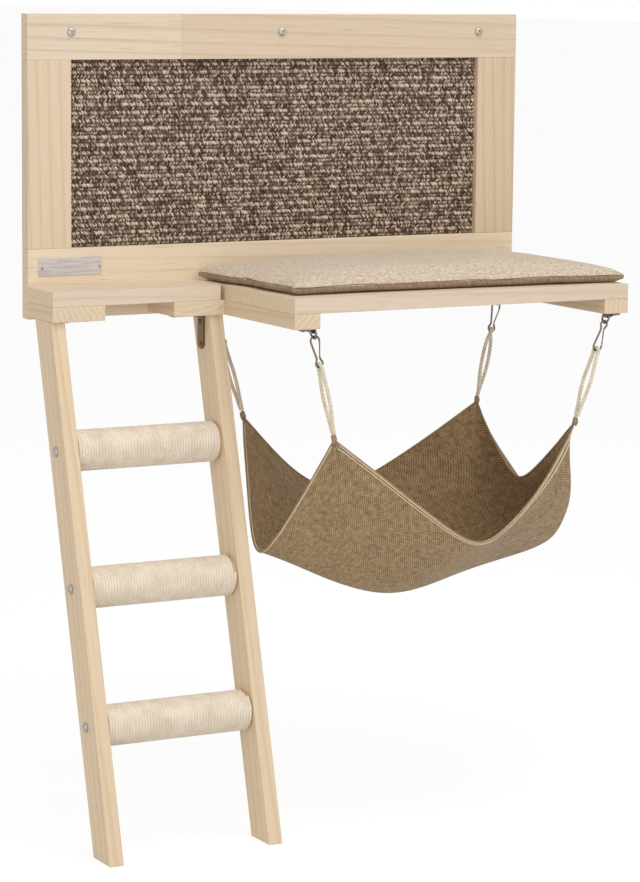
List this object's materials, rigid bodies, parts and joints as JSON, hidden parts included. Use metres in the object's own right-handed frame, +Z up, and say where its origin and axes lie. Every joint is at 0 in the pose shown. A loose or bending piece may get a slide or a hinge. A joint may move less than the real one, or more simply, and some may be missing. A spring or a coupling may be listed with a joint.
{
  "type": "wall mounted cat tree",
  "caption": "Wall mounted cat tree: framed sisal scratching panel, stepped shelf with a thin cushion, leaning ladder with wound rungs and a sling hammock on snap hooks.",
  "frame": {"origin": "middle of the panel's rear face, on the wall", "axes": "+Y into the wall and -Y into the room, +Z up, +X to the right as seen from the room"},
  "size_m": [0.617, 0.2992, 0.863],
  "materials": {
    "panel_pine": "planed, clear lacquer",
    "backing_ply": "plain",
    "sisal_mat": "woven in rows",
    "dowel_beech": "plain",
    "bright_steel": "zinc plated",
    "shelf_pine": "planed, clear lacquer",
    "batten_pine": "planed, clear lacquer",
    "ladder_pine": "planed, clear lacquer",
    "rung_pine": "turned",
    "cotton_twine": "twisted",
    "bracket_steel": "satin, dark bronze",
    "hanger_steel": "satin, dark bronze",
    "hook_wire": "satin, dark bronze",
    "cotton_rope": "twisted",
    "sling_burlap": "open plain weave",
    "cushion_linen": "plain weave"
  },
  "bodies": {
    "frame": {"top_rail": "panel_pine", "foot_rail": "panel_pine", "frame_stile_left": "panel_pine", "frame_stile_right": "panel_pine", "backing_board": "backing_ply", "scratch_mat": "sisal_mat", "frame_dowels": "dowel_beech", "wall_screws": "bright_steel", "shelf_board": "shelf_pine", "ladder_batten_left": "batten_pine", "ladder_batten_right": "batten_pine", "shelf_batten_left": "batten_pine", "shelf_batten_right": "batten_pine", "shelf_dowels": "dowel_beech", "ladder_stile_left": "ladder_pine", "ladder_stile_right": "ladder_pine", "rung_core_bottom": "rung_pine", "rung_wrap_bottom": "cotton_twine", "rung_core_middle": "rung_pine", "rung_wrap_middle": "cotton_twine", "rung_core_top": "rung_pine", "rung_wrap_top": "cotton_twine", "rung_bolts": "bright_steel", "bracket_left": "bracket_steel", "bracket_right": "bracket_steel", "hanger_strap_fl": "hanger_steel", "hanger_strap_fr": "hanger_steel", "hanger_strap_rl": "hanger_steel", "hanger_strap_rr": "hanger_steel"},
    "ring_fl": {"dee_ring_fl": "hook_wire"},
    "hook_fl": {"snap_hook_fl": "hook_wire", "rope_loop_fl": "cotton_rope"},
    "gate_fl": {"hook_gate_fl": "hook_wire"},
    "ring_fr": {"dee_ring_fr": "hook_wire"},
    "hook_fr": {"snap_hook_fr": "hook_wire", "rope_loop_fr": "cotton_rope"},
    "gate_fr": {"hook_gate_fr": "hook_wire"},
    "ring_rl": {"dee_ring_rl": "hook_wire"},
    "hook_rl": {"snap_hook_rl": "hook_wire", "rope_loop_rl": "cotton_rope"},
    "gate_rl": {"hook_gate_rl": "hook_wire"},
    "ring_rr": {"dee_ring_rr": "hook_wire"},
    "hook_rr": {"snap_hook_rr": "hook_wire", "rope_loop_rr": "cotton_rope"},
    "gate_rr": {"hook_gate_rr": "hook_wire"},
    "knot_fl": {"corner_knot_fl": "cotton_rope"},
    "sling": {"corner_knot_fr": "cotton_rope", "corner_knot_rl": "cotton_rope", "corner_knot_rr": "cotton_rope", "hammock_sling": "sling_burlap"},
    "cushion": {"cushion": "cushion_linen"}
  },
  "joints": [
    {"name": "ring_swing_fl", "type": "hinge", "parent": "frame", "child": "ring_fl", "pos_m": [-0.076, -0.232, -0.1594], "axis": [0, 1, 0], "range_deg": [-5, 5]},
    {"name": "hook_rock_fl", "type": "hinge", "parent": "ring_fl", "child": "hook_fl", "pos_m": [-0.0745, -0.232, -0.1649], "axis": [1, 0, 0], "range_deg": [-6, 6]},
    {"name": "gate_press_fl", "type": "hinge", "parent": "hook_fl", "child": "gate_fl", "pos_m": [-0.06666, -0.23025, -0.18663], "axis": [0, -0.9968, -0.0802], "range_deg": [0, 20], "stiffness_Nm_per_rad": 0.001, "springref_deg": -17.19},
    {"name": "ring_swing_fr", "type": "hinge", "parent": "frame", "child": "ring_fr", "pos_m": [0.286, -0.232, -0.1594], "axis": [0, 1, 0], "range_deg": [-5, 5]},
    {"name": "hook_rock_fr", "type": "hinge", "parent": "ring_fr", "child": "hook_fr", "pos_m": [0.2845, -0.232, -0.1649], "axis": [1, 0, 0], "range_deg": [-6, 6]},
    {"name": "gate_press_fr", "type": "hinge", "parent": "hook_fr", "child": "gate_fr", "pos_m": [0.28336, -0.23112, -0.17585], "axis": [0, 0.9968, 0.0802], "range_deg": [0, 20], "stiffness_Nm_per_rad": 0.001, "springref_deg": -17.19},
    {"name": "ring_swing_rl", "type": "hinge", "parent": "frame", "child": "ring_rl", "pos_m": [-0.085, -0.0245, -0.1594], "axis": [0, 1, 0], "range_deg": [-5, 5]},
    {"name": "hook_rock_rl", "type": "hinge", "parent": "ring_rl", "child": "hook_rl", "pos_m": [-0.0835, -0.0245, -0.1649], "axis": [1, 0, 0], "range_deg": [-6, 6]},
    {"name": "gate_press_rl", "type": "hinge", "parent": "hook_rl", "child": "gate_rl", "pos_m": [-0.07566, -0.02625, -0.18663], "axis": [0, -0.9968, 0.0802], "range_deg": [0, 20], "stiffness_Nm_per_rad": 0.001, "springref_deg": -17.19},
    {"name": "ring_swing_rr", "type": "hinge", "parent": "frame", "child": "ring_rr", "pos_m": [0.277, -0.0245, -0.1594], "axis": [0, 1, 0], "range_deg": [-5, 5]},
    {"name": "hook_rock_rr", "type": "hinge", "parent": "ring_rr", "child": "hook_rr", "pos_m": [0.2755, -0.0245, -0.1649], "axis": [1, 0, 0], "range_deg": [-6, 6]},
    {"name": "gate_press_rr", "type": "hinge", "parent": "hook_rr", "child": "gate_rr", "pos_m": [0.27114, -0.02633, -0.18758], "axis": [0, -0.9968, 0.0802], "range_deg": [0, 20], "stiffness_Nm_per_rad": 0.001, "springref_deg": -17.19},
    {"name": "knot_turn_fl", "type": "hinge", "parent": "hook_fl", "child": "knot_fl", "pos_m": [-0.04513, -0.22339, -0.27191], "axis": [1, 0, 0], "range_deg": [-6.6, 6.6]},
    {"name": "sling_turn", "type": "hinge", "parent": "knot_fl", "child": "sling", "pos_m": [-0.04513, -0.22339, -0.27191], "axis": [0, 1, 0], "range_deg": [-6.1, 6.1]},
    {"name": "cushion_lift", "type": "slide", "parent": "frame", "child": "cushion", "axis": [0, 0, 1], "range_m": [0, 0.12]}
  ],
  "couplings": [
    {"joint": "ring_swing_fr", "follows": "ring_swing_fl", "ratio": 1},
    {"joint": "hook_rock_fr", "follows": "hook_rock_fl", "ratio": 1},
    {"joint": "ring_swing_rl", "follows": "ring_swing_fl", "ratio": 1},
    {"joint": "hook_rock_rl", "follows": "hook_rock_fl", "ratio": 1},
    {"joint": "ring_swing_rr", "follows": "ring_swing_fl", "ratio": 1},
    {"joint": "hook_rock_rr", "follows": "hook_rock_fl", "ratio": 1},
    {"joint": "knot_turn_fl", "follows": "hook_rock_fl", "ratio": -1.0905},
    {"joint": "sling_turn", "follows": "ring_swing_fl", "ratio": -1.2056}
  ]
}
